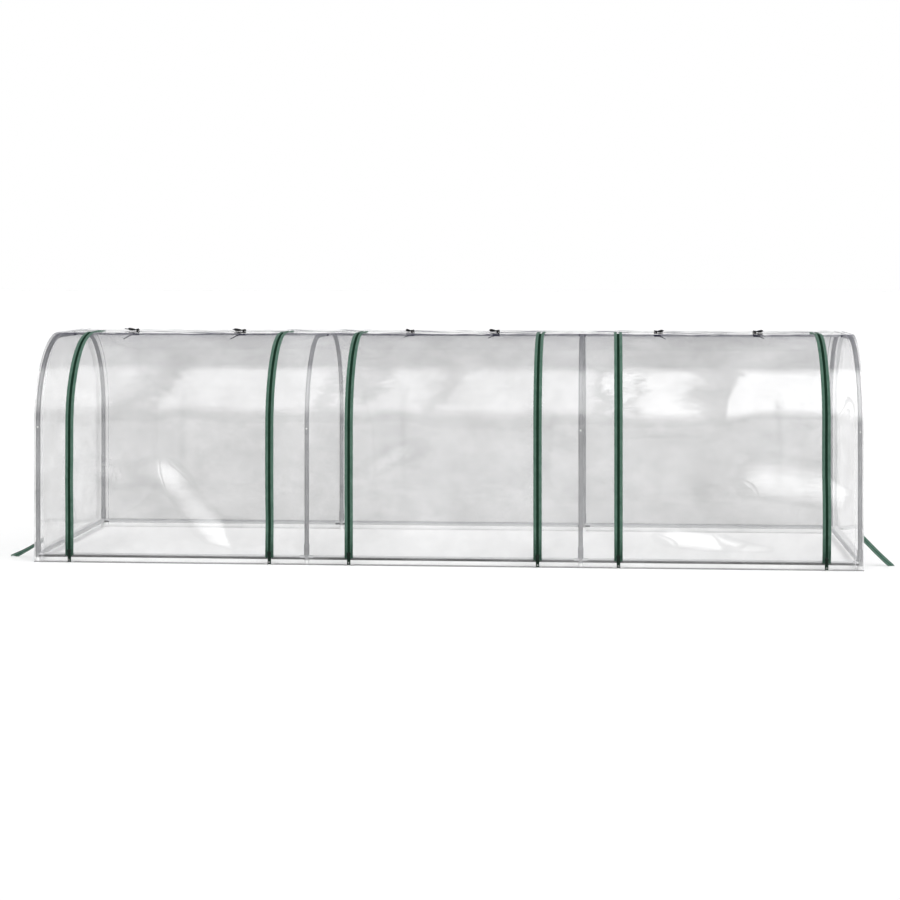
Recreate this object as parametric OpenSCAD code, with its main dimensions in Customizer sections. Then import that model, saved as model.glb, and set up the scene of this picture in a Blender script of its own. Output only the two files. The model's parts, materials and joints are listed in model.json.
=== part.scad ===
// Polytunnel greenhouse: four steel hoops on a base frame under a clear film cover,
// with three zipped doors along the front. +X runs along the tunnel, the doors face -Y.

/* [Overall] */
// Length over the cover
length = 2950; // [2400:10:3600]
// Depth over the cover, front to back
depth = 1000; // [900:10:1300]
// Top of the hoop tubes above the ground
hoop_top = 812; // [700:1:1000]

/* [Frame tubes] */
// Outside diameter of the hoop and rail tubes
tube_d = 16; // [14:0.5:20]
// Wall of every tube
tube_wall = 1; // [0.8:0.1:1.5]
// Bend radius of the hoops, on the tube's centre line
bend_r = 308; // [200:1:350]
// Straight tail of a bow below its bend
bow_tail = 20; // [5:1:40]
// Height of the rails' centre line above the ground
rail_z = 26; // [16:1:40]
// Outside diameter of the ridge bar
bar_d = 10; // [8:0.5:14]

/* [Tube joints] */
// Radial slip between a tube and the piece it slides on
slip = 0.2; // [0.1:0.05:0.4]
// Wall of the flared leg sockets and of the ridge bar's sockets
sleeve_wall = 1.5; // [1:0.1:2.5]
// Length of the flared socket at the foot of a leg
socket_l = 36; // [25:1:60]
// Length of the cone between the flared socket and the leg
flare_l = 4; // [2:0.5:8]
// Length of the spigots inside the tubes
spigot_l = 25; // [15:1:40]
// Reach of a foot fitting's arms from the hoop's centre line
arm_l = 24; // [16:1:40]
// Extra diameter of the foot hubs over the tubes
hub_extra = 2; // [1:0.5:3]
// Half length of a ridge cross between the two bows that it joins
cross_half = 10; // [8:0.5:16]
// Reach of a ridge cross's bar sockets from the hoop's centre line
cross_reach = 13; // [11:0.5:20]
// Depth of a bar in its socket
bar_seat = 8; // [5:0.5:10]

/* [Cover] */
// Thickness of the cover film
film_t = 2; // [1.5:0.1:3]
// Height of the doubled hem
hem_h = 6; // [4:0.5:15]
// Clear distance between the film and the frame, and between stacked pieces
fit = 0.3; // [0.2:0.05:0.5]

/* [Doors and zips] */
// Distance from an end hoop to its nearest zip
end_margin = 117; // [80:1:160]
// Distance from a middle hoop to the zip of the outer door
side_margin = 133; // [100:1:180]
// Distance from a middle hoop to the zip of the middle door
mid_margin = 152; // [100:1:180]
// Slot between a door and the strip beside it
slot_w = 8; // [7:0.5:12]
// Width over a zip's two bindings
zip_w = 30; // [24:1:40]
// Width of the ribbon that binds each side of a zip's slot
binding_w = 10; // [8:0.5:11]
// Thickness of a binding
binding_t = 2; // [1.4:0.1:2.4]
// Thickness of the zip's tape between the bindings
tape_t = 1; // [0.6:0.1:1.2]
// Height of the bindings' lower ends above the ground
binding_z = 25; // [18:1:60]
// Width of a zip's coil
coil_w = 6; // [4:0.5:6.5]
// Height of a zip's coil over its tape
coil_rise = 1.5; // [1:0.1:3]
// Distance from the ridge to the bindings' upper ends
zip_end = 8; // [7:1:30]
// Height of a zip slider's lower end above the ground
slider_z = 22; // [18:1:60]
// Width of a zip slider
slider_w = 11; // [9:0.5:16]
// Length of a zip slider
slider_l = 24; // [14:1:30]
// Wall of a zip slider
slider_wall = 1.2; // [0.8:0.1:2]
// Length of a slider's pull tab
pull_l = 32; // [18:1:32]
// Width of a slider's pull tab
pull_w = 8; // [6:0.5:10]
// Diameter of the hole at the free end of a pull tab
pull_hole = 4; // [2:0.5:5]

/* [Ties and straps] */
// Span of a tied bow
bow_span = 46; // [30:1:60]
// Outside diameter of a tied bow's loops
loop_d = 13; // [10:1:18]
// Width of a tie ribbon
ribbon_w = 10; // [6:0.5:14]
// Thickness of a tie ribbon
ribbon_t = 1.2; // [0.8:0.1:2]
// Width and height of a tie's knot
knot_w = 8; // [5:0.5:12]
// Width of a ground strap
strap_w = 18; // [12:1:30]
// Thickness of a ground strap
strap_t = 1.5; // [1:0.1:3]
// Distance from the front wall back to a ground strap's upper end
strap_inset = 98; // [60:1:200]
// Distance a ground strap runs back on its way to the ground
strap_back = 34; // [10:1:80]
// Reach of the left ground strap out from its end panel
left_strap_reach = 110; // [60:1:160]
// Height of the left ground strap where it leaves its end panel
left_strap_z = 62; // [40:1:140]
// Reach of the right ground strap out from its end panel
right_strap_reach = 112; // [60:1:160]
// Height of the right ground strap where it leaves its end panel
right_strap_z = 111; // [40:1:140]

/* [Hidden] */
$fn = 48;
BAYS = 3;
HOOPS = [0 : BAYS];
DOORS = [0 : BAYS - 1];

// Tube joints
sleeve_d = tube_d + 2 * slip + 2 * sleeve_wall;
sleeve_bore = tube_d + 2 * slip;
tube_bore = tube_d - 2 * tube_wall;
spigot_d = tube_bore - 2 * slip;
hub_d = tube_d + hub_extra;
hub_top = rail_z + hub_d / 2;
cover_offset = sleeve_d / 2 + fit;

// Stations of the hoops, and the height and depth of their centre lines
hoop_end = length / 2 - film_t - cover_offset;
hoop_pitch = 2 * hoop_end / BAYS;
function hoop_x(i) = -hoop_end + i * hoop_pitch;
tube_y = depth / 2 - film_t - cover_offset;
tube_top = hoop_top - tube_d / 2;
bend_y = tube_y - bend_r;
bend_z = tube_top - bend_r;
joint_z = bend_z - bow_tail;
bar_socket_d = bar_d + 2 * slip + 2 * sleeve_wall;
bar_stop = cross_reach - bar_seat;

// Inner face of the cover: a wall, a shoulder about the bend and a flat roof
shoulder_r = bend_r + cover_offset;
wall_y = bend_y + shoulder_r;
roof_z = bend_z + shoulder_r;
seam_gap = slip / 2;
strap_y = wall_y - strap_inset;

// How far a cutting shape runs past the face that it cuts
overrun = 1;

// Zips, two to a door
function zip_x(i) =
    let (door = floor(i / 2), left = i % 2 == 0, at_end = door == (left ? 0 : BAYS - 1))
    let (margin = at_end ? end_margin : door == 1 ? mid_margin : side_margin)
    left ? hoop_x(door) + margin : hoop_x(door + 1) - margin;
function door_mid(i) = (zip_x(2 * i) + zip_x(2 * i + 1)) / 2;
zip_base = film_t + fit;
coil_top = zip_base + tape_t + coil_rise;
slider_base = zip_base + binding_t;

// Each door's two ties, from the door's middle
TIE_OFFSETS = [[-240, 170], [-170, 155], [-205, 160]];

// Straight tube along +Z
module tube(d, l) {
    difference() {
        cylinder(d = d, h = l);
        translate([0, 0, -overrun]) cylinder(d = d - 2 * tube_wall, h = l + 2 * overrun);
    }
}

// Leg with a flared socket at its foot and a spigot at its top
module leg() {
    r = tube_d / 2;
    z0 = hub_top;
    z1 = z0 + socket_l;
    z2 = z1 + flare_l;
    z3 = joint_z + spigot_l;
    rotate_extrude()
        polygon([
            [sleeve_bore / 2, z0], [sleeve_d / 2, z0], [sleeve_d / 2, z1], [r, z2],
            [r, joint_z], [spigot_d / 2, joint_z], [spigot_d / 2, z3],
            [spigot_d / 2 - tube_wall, z3], [spigot_d / 2 - tube_wall, joint_z - flare_l],
            [tube_bore / 2, joint_z - 2 * flare_l], [tube_bore / 2, z2], [sleeve_bore / 2, z1]
        ]);
}

// Front half of a hoop's top: tail, bend and flat run to the ridge
module bow() {
    tail_gap = slip;
    translate([0, -tube_y, joint_z + tail_gap]) tube(tube_d, bow_tail - tail_gap);
    translate([0, -bend_y, bend_z])
        rotate([90, 0, -90])
            rotate_extrude(angle = 90)
                translate([bend_r, 0])
                    difference() {
                        circle(d = tube_d);
                        circle(d = tube_bore);
                    }
    translate([0, -bend_y, tube_top]) rotate([-90, 0, 0]) tube(tube_d, bend_y - cross_half - slip);
}

// Rail between two foot fittings, along +X from the first one's centre
module rail(span) {
    end = arm_l + slip;
    translate([end, 0, rail_z]) rotate([0, 90, 0]) tube(tube_d, span - 2 * end);
}

// Arm of a foot fitting along +X, with the spigot that a rail slides over
module foot_arm() {
    translate([0, 0, rail_z])
        rotate([0, 90, 0]) {
            cylinder(d = tube_d, h = arm_l);
            cylinder(d = spigot_d, h = arm_l + spigot_l);
        }
}

// Foot fitting: hub on the ground, stub for a leg, and an arm at each given turn
module foot(turns) {
    cylinder(d = hub_d, h = hub_top);
    cylinder(d = tube_d, h = hub_top + socket_l - flare_l);
    for (turn = turns) rotate(turn) foot_arm();
}

// The front of the cover as three runs of a section: its x lies along the tunnel, and its y counts
// outwards from the film's inner face
module up_wall(z0) {
    translate([0, -wall_y, bend_z]) rotate([180, 0, 0]) linear_extrude(bend_z - z0) children();
}

module round_shoulder() {
    translate([0, -bend_y, bend_z])
        rotate([90, 0, -90])
            rotate_extrude(angle = 90)
                translate([shoulder_r, 0]) rotate(-90) children();
}

module over_roof(from_ridge) {
    translate([0, -from_ridge, roof_z])
        rotate([90, 0, 0]) linear_extrude(bend_y - from_ridge) children();
}

// Sheet of film with a doubled hem, from x0 to x1, and with a roof from seam0 to seam1
module front_sheet(x0, x1, seam0, seam1) {
    up_wall(0) film_section(x0, x1);
    round_shoulder() film_section(x0, x1);
    over_roof(seam_gap) film_section(seam0, seam1);
    translate([x0, -wall_y - 2 * film_t, 0]) cube([x1 - x0, film_t, hem_h]);
}

module film_section(x0, x1) { translate([x0, 0]) square([x1 - x0, film_t]); }

// Flat end panel with a thickness along +X, inside the cover's outline
module end_panel() {
    r = shoulder_r - fit;
    translate([0, -wall_y + fit, 0]) cube([film_t, 2 * (wall_y - fit), bend_z]);
    for (turn = [0, 180])
        translate([film_t / 2, 0, 0])
            rotate(turn)
                translate([film_t / 2, -bend_y, bend_z])
                    rotate([90, 0, -90]) rotate_extrude(angle = 90) square([r, film_t]);
    translate([0, -bend_y, bend_z]) cube([film_t, 2 * bend_y, r]);
}

// Section of a zip: two bindings and the tape between them, with or without the raised coil
module zip_section(with_coil) {
    half = zip_w / 2;
    inner = half - binding_w;
    coil_x = coil_w / 2;
    tape_top = zip_base + tape_t;
    binding_top = zip_base + binding_t;
    coil = [[coil_x, tape_top], [coil_x, coil_top], [-coil_x, coil_top], [-coil_x, tape_top]];
    polygon([
        [-half, zip_base], [half, zip_base], [half, binding_top], [inner, binding_top], [inner, tape_top],
        each (with_coil ? coil : []),
        [-inner, tape_top], [-inner, binding_top], [-half, binding_top]
    ]);
}

// Zip from the hem to the top of the shoulder, with its tape running on over the roof's seam
module zip() {
    up_wall(binding_z) zip_section(true);
    round_shoulder() zip_section(true);
    over_roof(zip_end) zip_section(false);
    translate([-coil_w / 2, -wall_y - coil_top, fit])
        cube([coil_w, coil_top - zip_base, binding_z - fit]);
}

// Slider over a zip's coil, with a pull tab that hangs from its bail
module zip_slider() {
    front = coil_top + fit;
    inner_w = coil_w + 2 * fit;
    bail_l = pull_w / 2;
    bail_z = slider_z + slider_l / 2;
    bail_rise = 2 * slider_wall;
    bail_out = front + slider_wall + bail_rise;
    rotate([90, 0, 0])
        difference() {
            translate([-slider_w / 2, slider_z, wall_y + slider_base])
                cube([slider_w, slider_l, front + slider_wall - slider_base]);
            translate([-inner_w / 2, slider_z - overrun, wall_y])
                cube([inner_w, slider_l + 2 * overrun, front]);
        }
    translate([-slider_wall / 2, -wall_y - bail_out, bail_z]) cube([slider_wall, bail_rise, bail_l]);
    translate([0, -wall_y - bail_out, bail_z + bail_l - pull_l]) pull_tab();
}

// Flat tab standing on its free end, with a hole through it there
module pull_tab() {
    difference() {
        translate([-pull_w / 2, -slider_wall, 0]) cube([pull_w, slider_wall, pull_l]);
        translate([0, overrun, pull_w / 2])
            rotate([90, 0, 0]) cylinder(d = pull_hole, h = slider_wall + 2 * overrun);
    }
}

// Ribbon tied in a bow on the ridge: a base on the film, a knot and two open loops
module tie() {
    loop_x = (bow_span - loop_d) / 2;
    translate([0, 0, roof_z + film_t + fit]) {
        translate([-loop_x, -ribbon_w / 2, 0]) cube([2 * loop_x, ribbon_w, ribbon_t]);
        translate([-knot_w / 2, -ribbon_w / 2, 0]) cube([knot_w, ribbon_w, knot_w]);
        for (side = [-1, 1])
            translate([side * loop_x, ribbon_w / 2, (loop_d + ribbon_t) / 2])
                rotate([90, 0, 0]) tie_loop();
    }
}

module tie_loop() {
    difference() {
        cylinder(d = loop_d, h = ribbon_w);
        translate([0, 0, -overrun]) cylinder(d = loop_d - 2 * ribbon_t, h = ribbon_w + 2 * overrun);
    }
}

// Ground strap at the right end: a flat band from the end panel down and back to the ground
module strap(reach, top) {
    run = norm([reach, strap_back]);
    fall = atan2(top, run);
    across = strap_w / cos(fall);
    along = strap_w / sin(fall);
    start = (strap_t / 2) * strap_back / reach;
    translate([length / 2 + fit, -strap_y, 0])
        rotate(atan2(strap_back, reach))
            rotate([90, 0, 0])
                translate([0, 0, -strap_t / 2])
                    linear_extrude(strap_t)
                        polygon([
                            [start, top - across / 2], [start, top + across / 2],
                            [run + along / 2, 0], [run - along / 2, 0]
                        ]);
}

module front_leg(i) { color("darkgray") translate([hoop_x(i), -tube_y, 0]) leg(); }
module back_leg(i) { color("darkgray") translate([hoop_x(i), tube_y, 0]) leg(); }
module front_bow(i) { color("darkgray") translate([hoop_x(i), 0, 0]) bow(); }
module back_bow(i) { color("darkgray") translate([hoop_x(i), 0, 0]) rotate(180) bow(); }

module front_rails() {
    color("darkgray") for (i = DOORS) translate([hoop_x(i), -tube_y, 0]) rail(hoop_pitch);
}

module back_rails() {
    color("darkgray") for (i = DOORS) translate([hoop_x(i), tube_y, 0]) rail(hoop_pitch);
}

module end_rail(x) {
    color("darkgray") translate([x, -tube_y, 0]) rotate(90) rail(2 * tube_y);
}

module corner_feet() {
    color("gray")
        for (turn = [0, 180]) rotate(turn) {
            translate([-hoop_end, -tube_y, 0]) foot([0, 90]);
            translate([hoop_end, -tube_y, 0]) foot([90, 180]);
        }
}

module tee_feet() {
    color("gray")
        for (i = [1 : BAYS - 1], side = [-1, 1])
            translate([hoop_x(i), side * tube_y, 0]) foot([0, 180]);
}

// Cross between two bows at the ridge, with a bar socket on each given side
module ridge_cross(sides) {
    translate([0, 0, tube_top])
        difference() {
            union() {
                translate([0, cross_half, 0]) rotate([90, 0, 0]) cylinder(d = tube_d, h = 2 * cross_half);
                for (turn = [0, 180])
                    rotate(turn)
                        translate([0, cross_half, 0])
                            rotate([-90, 0, 0]) cylinder(d = spigot_d, h = spigot_l);
                for (side = sides) rotate([0, side * 90, 0]) cylinder(d = bar_socket_d, h = cross_reach);
            }
            for (side = sides)
                rotate([0, side * 90, 0])
                    translate([0, 0, bar_stop]) cylinder(d = bar_d + 2 * slip, h = bar_seat + overrun);
        }
}

module ridge_crosses() {
    color("black")
        for (i = HOOPS)
            translate([hoop_x(i), 0, 0]) ridge_cross(i == 0 ? [1] : i == BAYS ? [-1] : [-1, 1]);
}

module ridge_bars() {
    end = bar_stop + slip;
    color("darkgray")
        for (i = DOORS)
            translate([hoop_x(i) + end, 0, tube_top])
                rotate([0, 90, 0]) tube(bar_d, hoop_pitch - 2 * end);
}

module back_cover() {
    end = length / 2;
    color("gainsboro", 0.5) rotate(180) front_sheet(-end, end, -end, end);
}

module left_end_panel() { color("gainsboro", 0.5) translate([-length / 2, 0, 0]) end_panel(); }
module right_end_panel() { color("gainsboro", 0.5) translate([length / 2 - film_t, 0, 0]) end_panel(); }

// Where the sheet on one side of a zip ends: at its slot, or on the roof at its seam
function right_of_zip(i, gap) = zip_x(i) + gap / 2;
function left_of_zip(i, gap) = zip_x(i) - gap / 2;

// Strip beside the doors; its roof is joined to theirs along the zips' middle lines
module front_strip(i) {
    end = length / 2;
    x0 = i == 0 ? -end : right_of_zip(2 * i - 1, slot_w);
    x1 = i == BAYS ? end : left_of_zip(2 * i, slot_w);
    seam0 = i == 0 ? -end : right_of_zip(2 * i - 1, seam_gap);
    seam1 = i == BAYS ? end : left_of_zip(2 * i, seam_gap);
    color("gainsboro", 0.5) front_sheet(x0, x1, seam0, seam1);
}

module door(i) {
    first = 2 * i;
    last = first + 1;
    color("gainsboro", 0.5)
        front_sheet(
            right_of_zip(first, slot_w), left_of_zip(last, slot_w),
            right_of_zip(first, seam_gap), left_of_zip(last, seam_gap)
        );
}

module zip_at(i) { color("darkslategray") translate([zip_x(i), 0, 0]) zip(); }

module zip_sliders() {
    color("silver") for (i = [0 : 2 * BAYS - 1]) translate([zip_x(i), 0, 0]) zip_slider();
}

module door_ties() {
    color("black")
        for (i = DOORS, offset_x = TIE_OFFSETS[i]) translate([door_mid(i) + offset_x, 0, 0]) tie();
}

module right_strap() { color("seagreen") strap(right_strap_reach, right_strap_z); }
module left_strap() { color("seagreen") mirror([1, 0, 0]) strap(left_strap_reach, left_strap_z); }

for (i = HOOPS) {
    front_leg(i);
    back_leg(i);
    front_bow(i);
    back_bow(i);
    front_strip(i);
}
for (i = DOORS) {
    door(i);
}
for (i = [0 : 2 * BAYS - 1]) {
    zip_at(i);
}
front_rails();
back_rails();
end_rail(-hoop_end);  // left_end_rail
end_rail(hoop_end);  // right_end_rail
corner_feet();
tee_feet();
ridge_crosses();
ridge_bars();
back_cover();
left_end_panel();
right_end_panel();
zip_sliders();
door_ties();
left_strap();
right_strap();
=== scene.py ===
"""Polytunnel greenhouse: a clear film cover with three zipped doors, over hoops of steel tube.

Lengths are in metres, in the frame's own axes: +X along the tunnel, -Y out of the doors, +Z up.
"""

import json
import math

import bpy
import numpy as np
from mathutils import Matrix, Vector

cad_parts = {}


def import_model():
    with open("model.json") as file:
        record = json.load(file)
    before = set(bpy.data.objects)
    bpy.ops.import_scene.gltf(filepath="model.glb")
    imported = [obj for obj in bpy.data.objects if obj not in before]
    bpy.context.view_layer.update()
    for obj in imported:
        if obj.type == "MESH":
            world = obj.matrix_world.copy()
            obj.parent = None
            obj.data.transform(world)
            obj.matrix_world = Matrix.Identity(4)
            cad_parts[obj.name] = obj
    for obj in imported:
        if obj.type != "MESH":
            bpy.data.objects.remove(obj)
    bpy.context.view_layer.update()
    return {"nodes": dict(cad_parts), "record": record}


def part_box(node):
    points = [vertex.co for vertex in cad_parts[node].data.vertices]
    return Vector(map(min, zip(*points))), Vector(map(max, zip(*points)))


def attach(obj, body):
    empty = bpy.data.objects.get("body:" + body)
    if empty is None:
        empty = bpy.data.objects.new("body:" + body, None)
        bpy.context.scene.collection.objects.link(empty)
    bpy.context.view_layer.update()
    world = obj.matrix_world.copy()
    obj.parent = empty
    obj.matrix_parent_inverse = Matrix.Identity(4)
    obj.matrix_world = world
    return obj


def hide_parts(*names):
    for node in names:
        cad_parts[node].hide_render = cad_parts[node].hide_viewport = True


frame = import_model()


def middle(node):
    """Middle of a CAD node's box."""
    low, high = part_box(node)
    return (low + high) / 2


# Stations along the tunnel
HOOP_X = [middle(f"front_leg_{i}").x for i in range(1, 5)]
ZIP_X = [middle(f"zip_{i}").x for i in range(1, 7)]
END_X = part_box("back_cover")[1].x
TUBE_Y = middle("back_leg_1").y
TUBE_TOP = middle("ridge_bars").z
JOINT_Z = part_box("front_bow_1")[0].z

# The cover's outline: a wall, a shoulder and a flat roof, on the middle of the film
TUBE_R = 0.008
BEND_R = 0.308
FILM_OUT = 0.0107
WALL_Y = TUBE_Y + FILM_OUT
SHOULDER_R = BEND_R + FILM_OUT
ROOF_Z = TUBE_TOP + FILM_OUT
BEND_Y = WALL_Y - SHOULDER_R
WALL_L = ROOF_Z - SHOULDER_R
ARC_L = SHOULDER_R * math.pi / 2
ROOF_S = WALL_L + ARC_L
RIDGE_S = ROOF_S + BEND_Y

# Film: the spacing of its mesh, its hem, its slots at the zips with the gap left on the roof, and the
# end panels' inset at their edges
FILM_STEP = 0.010
HEM_H = 0.0048
HEM_R = 0.0012
SLOT_HALF = 0.0045
SLOT_GAP = 0.0002
EDGE_INSET = 0.0012


# Meshes


class Shape:
    """Vertices and faces of one piece, with a material slot for each face."""

    def __init__(self):
        self.points = []
        self.faces = []
        self.slots = []
        self.count = 0

    def add(self, points, *groups, slot=0):
        """Adds points, and the groups of faces between them."""
        points = np.asarray(points, float).reshape(-1, 3)
        for faces in groups:
            self.faces.extend((np.asarray(faces, int) + self.count).tolist())
            self.slots.extend([slot] * len(faces))
        self.points.append(points)
        self.count += len(points)

    def piece(self, name, materials, slot_name, crease=40):
        """The finished object, riding on the frame; edges sharper than the crease stay sharp."""
        mesh = bpy.data.meshes.new(name)
        mesh.from_pydata(np.concatenate(self.points).tolist(), [], self.faces)
        mesh.polygons.foreach_set("material_index", self.slots)
        mesh.polygons.foreach_set("use_smooth", [True] * len(self.faces))
        for material in materials:
            mesh.materials.append(material)
        mesh.update()
        mesh.set_sharp_from_angle(angle=math.radians(crease))
        made = bpy.data.objects.new(name, mesh)
        bpy.context.scene.collection.objects.link(made)
        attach(made, "root")
        return made


def grid_faces(rows, columns, closed=False):
    """Quads between points stored row by row; closed joins each row's last point to its first."""
    r = np.arange(rows - 1)[:, None]
    c = np.arange(columns if closed else columns - 1)[None, :]
    after = (c + 1) % columns
    corners = [r * columns + c, r * columns + after, (r + 1) * columns + after, (r + 1) * columns + c]
    return np.stack([np.broadcast_to(k, (rows - 1, c.shape[1])) for k in corners], -1).reshape(-1, 4)


def cap_faces(rows, columns):
    """Triangle fans that close both ends of a tube of convex sections."""
    fan = np.arange(1, columns - 1)
    first = np.stack([np.zeros_like(fan), fan + 1, fan], -1)
    last = np.stack([np.zeros_like(fan), fan, fan + 1], -1) + (rows - 1) * columns
    return np.concatenate([first, last])


def spaced(start, end, step):
    """Evenly spaced values from start to end, about a step apart."""
    return np.linspace(start, end, max(2, int(round(abs(end - start) / step)) + 1))


def unit(vectors):
    return vectors / np.linalg.norm(vectors, axis=-1, keepdims=True)


def smooth_path(points, count):
    """A smooth curve of count points through the given ones."""
    points = np.asarray(points, float)
    knots = np.r_[0, np.cumsum(np.linalg.norm(np.diff(points, axis=0), axis=1))]
    slopes = np.gradient(points, knots, axis=0)
    at = np.linspace(0, knots[-1], count)
    i = np.clip(np.searchsorted(knots, at, side="right") - 1, 0, len(knots) - 2)
    gap = knots[i + 1] - knots[i]
    t = ((at - knots[i]) / gap)[:, None]
    gap = gap[:, None]
    return (
        (2 * t**3 - 3 * t**2 + 1) * points[i] + (t**3 - 2 * t**2 + t) * gap * slopes[i]
        + (3 * t**2 - 2 * t**3) * points[i + 1] + (t**3 - t**2) * gap * slopes[i + 1]
    )


# A band's section, across and off its path, in halves of its width and thickness
BAND_SECTION = np.array([
    (-1, -0.4), (-0.93, -1), (0.93, -1), (1, -0.4), (1, 0.4), (0.93, 1), (-0.93, 1), (-1, 0.4),
])


def ribbon(shape, path, across, width, thick, slot=0, shift=(0.0, 0.0)):
    """A flat band with softened edges along a path; across is the direction of its width.

    shift moves it across and off the path.
    """
    path = np.asarray(path, float)
    along = unit(np.gradient(path, axis=0))
    across = np.broadcast_to(np.asarray(across, float), path.shape)
    across = unit(across - along * np.sum(across * along, axis=1, keepdims=True))
    off = np.cross(along, across)
    half = np.broadcast_to(np.asarray(width, float) / 2, len(path))[:, None, None]
    u = half * BAND_SECTION[None, :, :1] + shift[0]
    v = thick / 2 * BAND_SECTION[None, :, 1:] + shift[1]
    loft(shape, path[:, None] + across[:, None] * u + off[:, None] * v, slot)


def loft(shape, rings, slot=0):
    """A closed skin through rings of points."""
    rings = np.asarray(rings, float)
    count, size = rings.shape[:2]
    shape.add(rings, grid_faces(count, size, closed=True), cap_faces(count, size), slot=slot)


def turned(shape, profile, centre, axis, slot=0, sides=16):
    """A profile of (radius, height) points turned about an axis."""
    axis = unit(np.asarray(axis, float))
    side = unit(np.cross(axis, (0.31, 0.23, 0.92)))
    other = np.cross(axis, side)
    turn = np.linspace(0, 2 * math.pi, sides, endpoint=False)
    rim = np.cos(turn)[:, None] * side + np.sin(turn)[:, None] * other
    rings = [np.asarray(centre) + radius * rim + height * axis for radius, height in profile]
    loft(shape, rings, slot)


# The cover's surface


def outline(s):
    """Points and outward normals (y, z, ny, nz) at distances s along the cover, from the front hem."""
    t = np.minimum(s, 2 * RIDGE_S - s)
    side = np.where(s <= RIDGE_S, -1.0, 1.0)
    turn = np.clip((t - WALL_L) / SHOULDER_R, 0, math.pi / 2)
    y = BEND_Y + SHOULDER_R * np.cos(turn) - np.clip(t - ROOF_S, 0, None)
    z = np.minimum(t, WALL_L) + SHOULDER_R * np.sin(turn)
    return side * y, z, side * np.cos(turn), np.sin(turn)


def waves(x, s, count, lengths, heading, spread, seed):
    """Sum of plane waves of random length and heading, scaled to about 1."""
    rng = np.random.default_rng(seed)
    total = np.zeros(np.broadcast(x, s).shape)
    for _ in range(count):
        length = rng.uniform(*lengths)
        angle = heading + rng.uniform(-spread, spread)
        phase = rng.uniform(0, 2 * math.pi)
        total += np.sin(2 * math.pi * (x * math.cos(angle) + s * math.sin(angle)) / length + phase)
    return total / math.sqrt(count)


def smooth_step(low, high, value):
    """0 below low, 1 above high, with a smooth rise between."""
    t = np.clip((value - low) / (high - low), 0, 1)
    return t * t * (3 - 2 * t)


# Soft pulls in the film: start (x, s), end (x, s), half width, height; the slope faces left of the line
FOLDS = [
    ((-1.085, 0.420), (-0.690, -0.020), 0.084, 0.0138),
    ((-1.290, 0.400), (-1.080, 0.210), 0.070, 0.0092),
    ((-0.330, 0.300), (-0.060, 0.450), 0.050, 0.0061),
    ((1.010, 0.335), (1.500, 0.265), 0.112, 0.0128),
    ((0.720, 0.130), (1.230, 0.045), 0.052, 0.0066),
]


def fold_relief(x, s):
    """Height of the folds."""
    total = np.zeros(np.broadcast(x, s).shape)
    for (x0, s0), (x1, s1), half, height in FOLDS:
        dx, ds = x1 - x0, s1 - s0
        length = math.hypot(dx, ds)
        along = ((x - x0) * dx + (s - s0) * ds) / length
        across = ((x - x0) * ds - (s - s0) * dx) / length
        fade = smooth_step(-0.04, 0.12, along) * smooth_step(-0.04, 0.12, length - along)
        total += height * fade * across / half * np.exp(0.5 - 0.5 * (across / half) ** 2)
    return total


def relief(x, s):
    """Height of the film over its outline, along the normal."""
    x, s = np.broadcast_arrays(np.asarray(x, float), np.asarray(s, float))
    gap = np.min([np.abs(x - h) for h in HOOP_X], axis=0)
    free = smooth_step(0.012, 0.20, gap)
    t = np.minimum(s, 2 * RIDGE_S - s)
    hem = smooth_step(0.03, 0.20, t)
    roof = smooth_step(ROOF_S - 0.5 * ARC_L, ROOF_S, t)
    sag = -0.0020 * smooth_step(0.012, 0.45, gap) * roof
    belly = 0.0024 * free * hem * (1 - roof) * waves(x, s, 5, (0.45, 1.0), math.pi / 2, 0.07, 3)
    pulls = 0.0004 * free * hem * (1 - roof) * waves(x, s, 9, (0.14, 0.30), math.pi / 2, 0.12, 11)
    creases = 0.0009 * smooth_step(0.012, 0.05, gap) * roof * waves(x, s, 8, (0.06, 0.18), 0.8, 0.5, 23)
    folds = fold_relief(x, s) * smooth_step(0.008, 0.06, gap) * smooth_step(0.012, 0.07, t)
    floor = -0.0004 - 0.014 * free * hem * (1 - 0.75 * roof)
    return np.maximum(sag + belly + pulls + creases + folds, floor)


def cover(x, s, out=0.0):
    """Points on the cover at stations x and distances s, a height out over the film."""
    x, s, out = np.broadcast_arrays(np.asarray(x, float), np.asarray(s, float), np.asarray(out, float))
    y, z, ny, nz = outline(s)
    height = relief(x, s) + out
    return np.stack([x, y + ny * height, z + nz * height], -1)


# Materials


def add_node(tree, kind, inputs=None, **settings):
    """Adds a node, sets its properties, and sets or links its inputs."""
    made = tree.nodes.new(kind)
    for name, value in settings.items():
        setattr(made, name, value)
    for name, value in (inputs or {}).items():
        if isinstance(value, bpy.types.NodeSocket):
            tree.links.new(value, made.inputs[name])
        else:
            made.inputs[name].default_value = value
    return made


def new_material(name):
    """A material with an empty node tree, and that tree."""
    material = bpy.data.materials.new(name)
    material.use_nodes = True
    material.node_tree.nodes.clear()
    return material, material.node_tree


def finish_material(tree, shader):
    out = add_node(tree, "ShaderNodeOutputMaterial")
    tree.links.new(shader, out.inputs["Surface"])


def place(tree, scale=(1, 1, 1), turn=(0, 0, 0)):
    """The surface's own place, scaled and turned, for a texture."""
    where = add_node(tree, "ShaderNodeTexCoord").outputs["Object"]
    return add_node(
        tree, "ShaderNodeMapping", {"Vector": where, "Scale": scale, "Rotation": turn}
    ).outputs["Vector"]


def height_of(tree):
    """The surface's own height."""
    where = add_node(tree, "ShaderNodeTexCoord").outputs["Object"]
    return add_node(tree, "ShaderNodeSeparateXYZ", {"Vector": where}).outputs["Z"]


def noise(tree, where, scale, detail=4.0, roughness=0.55):
    return add_node(
        tree, "ShaderNodeTexNoise",
        {"Vector": where, "Scale": scale, "Detail": detail, "Roughness": roughness},
    ).outputs["Fac"]


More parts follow.
